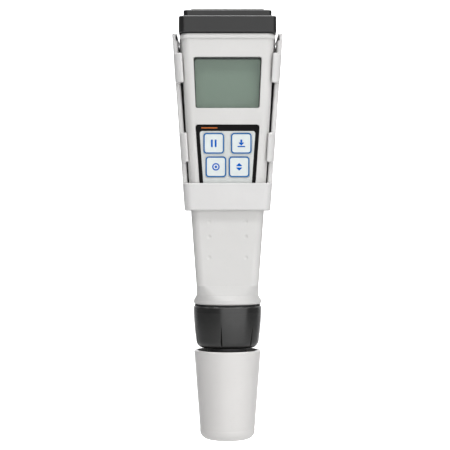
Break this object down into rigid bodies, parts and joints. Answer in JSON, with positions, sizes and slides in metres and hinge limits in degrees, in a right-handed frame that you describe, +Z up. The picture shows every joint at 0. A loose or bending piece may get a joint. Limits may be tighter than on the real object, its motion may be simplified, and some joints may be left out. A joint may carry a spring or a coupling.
{
  "type": "ph test pen",
  "caption": "Pen-shaped waterproof pH tester with display, membrane keys, screw-collar electrode and storage cap, seated in a snap-in wall holder.",
  "frame": {"origin": "middle of the holder's two wall-screw holes, on the wall face of the holder", "axes": "+Z up along the pen towards the battery cap, +Y into the wall, so the display and keys face -Y; +X to the viewer's right"},
  "size_m": [0.0442, 0.0373, 0.1726],
  "materials": {
    "body_plastic": "light grey, fine satin texture",
    "holder_plastic": "light grey, satin",
    "cap_plastic": "dark grey, satin",
    "collar_plastic": "dark grey, satin",
    "storage_plastic": "light grey, satin",
    "window": "clear moulded window",
    "lcd": "grey-green liquid crystal panel",
    "lcd_frame_plastic": "dark",
    "zebra_rubber": "striped conductive rubber",
    "overlay_film": "printed film",
    "key_film": "printed film, satin",
    "mat_silicone": "translucent silicone",
    "switch_metal": "plated",
    "pcb": "green solder mask",
    "component_black": "moulded",
    "screw_steel": "stainless",
    "chassis_plastic": "black",
    "battery_bay_plastic": "black",
    "cell_steel": "nickel plated",
    "contact_metal": "nickel plated spring metal",
    "gasket_rubber": "soft",
    "socket_plastic": "black",
    "pin_brass": "gold flashed",
    "electrode_plastic": "dark grey",
    "electrode_glass": "thin clear glass",
    "silver": "silver wire",
    "junction_ceramic": "porous",
    "sponge": "damp cellulose"
  },
  "bodies": {
    "holder": {"holder": "holder_plastic"},
    "pen": {"housing": "body_plastic", "lcd_window": "window", "lcd_glass": "lcd", "lcd_frame": "lcd_frame_plastic", "zebra_strips": "zebra_rubber", "keypad_overlay": "overlay_film", "key_mat": "mat_silicone", "tact_switches": "switch_metal", "main_pcb": "pcb", "board_components": "component_black", "board_screws": "screw_steel", "chassis": "chassis_plastic", "battery_holder": "battery_bay_plastic", "battery_contacts": "contact_metal", "button_cells": "cell_steel", "cap_gasket": "gasket_rubber", "foot_gasket": "gasket_rubber", "electrode_socket": "socket_plastic", "socket_pins": "pin_brass"},
    "battery_cap": {"battery_cap": "cap_plastic", "cap_screws": "screw_steel", "battery_link": "contact_metal"},
    "hold_key": {"hold_key": "key_film"},
    "store_key": {"store_key": "key_film"},
    "cal_key": {"cal_key": "key_film"},
    "scroll_key": {"scroll_key": "key_film"},
    "power_key": {"power_key": "key_film"},
    "electrode": {"electrode_body": "electrode_plastic", "electrode_contacts": "pin_brass", "glass_stem": "electrode_glass", "glass_bulb": "electrode_glass", "silver_wires": "silver", "reference_junction": "junction_ceramic", "temperature_sensor": "screw_steel", "electrode_o_ring": "gasket_rubber", "cap_seal_ring": "gasket_rubber", "collar_washer": "gasket_rubber"},
    "collar": {"collar": "collar_plastic"},
    "storage_cap": {"storage_cap": "storage_plastic", "storage_sponge": "sponge"}
  },
  "joints": [
    {"name": "pen_lift", "type": "slide", "parent": "holder", "child": "pen", "axis": [0, 0, 1], "range_m": [0, 0.165]},
    {"name": "battery_cap_lift", "type": "slide", "parent": "pen", "child": "battery_cap", "axis": [0, 0, 1], "range_m": [0, 0.04]},
    {"name": "hold_key_press", "type": "slide", "parent": "pen", "child": "hold_key", "axis": [0, 0.999, 0.0443], "range_m": [0, 0.0004], "stiffness_N_per_m": 800, "springref_m": -0.0002},
    {"name": "store_key_press", "type": "slide", "parent": "pen", "child": "store_key", "axis": [0, 0.999, 0.0443], "range_m": [0, 0.0004], "stiffness_N_per_m": 800, "springref_m": -0.0002},
    {"name": "cal_key_press", "type": "slide", "parent": "pen", "child": "cal_key", "axis": [0, 0.999, 0.0443], "range_m": [0, 0.0004], "stiffness_N_per_m": 800, "springref_m": -0.0002},
    {"name": "scroll_key_press", "type": "slide", "parent": "pen", "child": "scroll_key", "axis": [0, 0.999, 0.0443], "range_m": [0, 0.0004], "stiffness_N_per_m": 800, "springref_m": -0.0002},
    {"name": "power_key_press", "type": "slide", "parent": "pen", "child": "power_key", "axis": [0, 0.999, 0.0443], "range_m": [0, 0.0004], "stiffness_N_per_m": 800, "springref_m": -0.0002},
    {"name": "electrode_travel", "type": "slide", "parent": "pen", "child": "electrode", "axis": [0, 0, -1], "range_m": [0, 0.012]},
    {"name": "collar_turn", "type": "hinge", "parent": "electrode", "child": "collar", "pos_m": [0, -0.0195, -0.082], "axis": [0, 0, -1], "range_deg": [0, 1441]},
    {"name": "storage_cap_pull", "type": "slide", "parent": "electrode", "child": "storage_cap", "axis": [0, 0, -1], "range_m": [0, 0.04]}
  ],
  "couplings": [
    {"joint": "collar_turn", "follows": "electrode_travel", "rad_per_m": 2094.4}
  ]
}
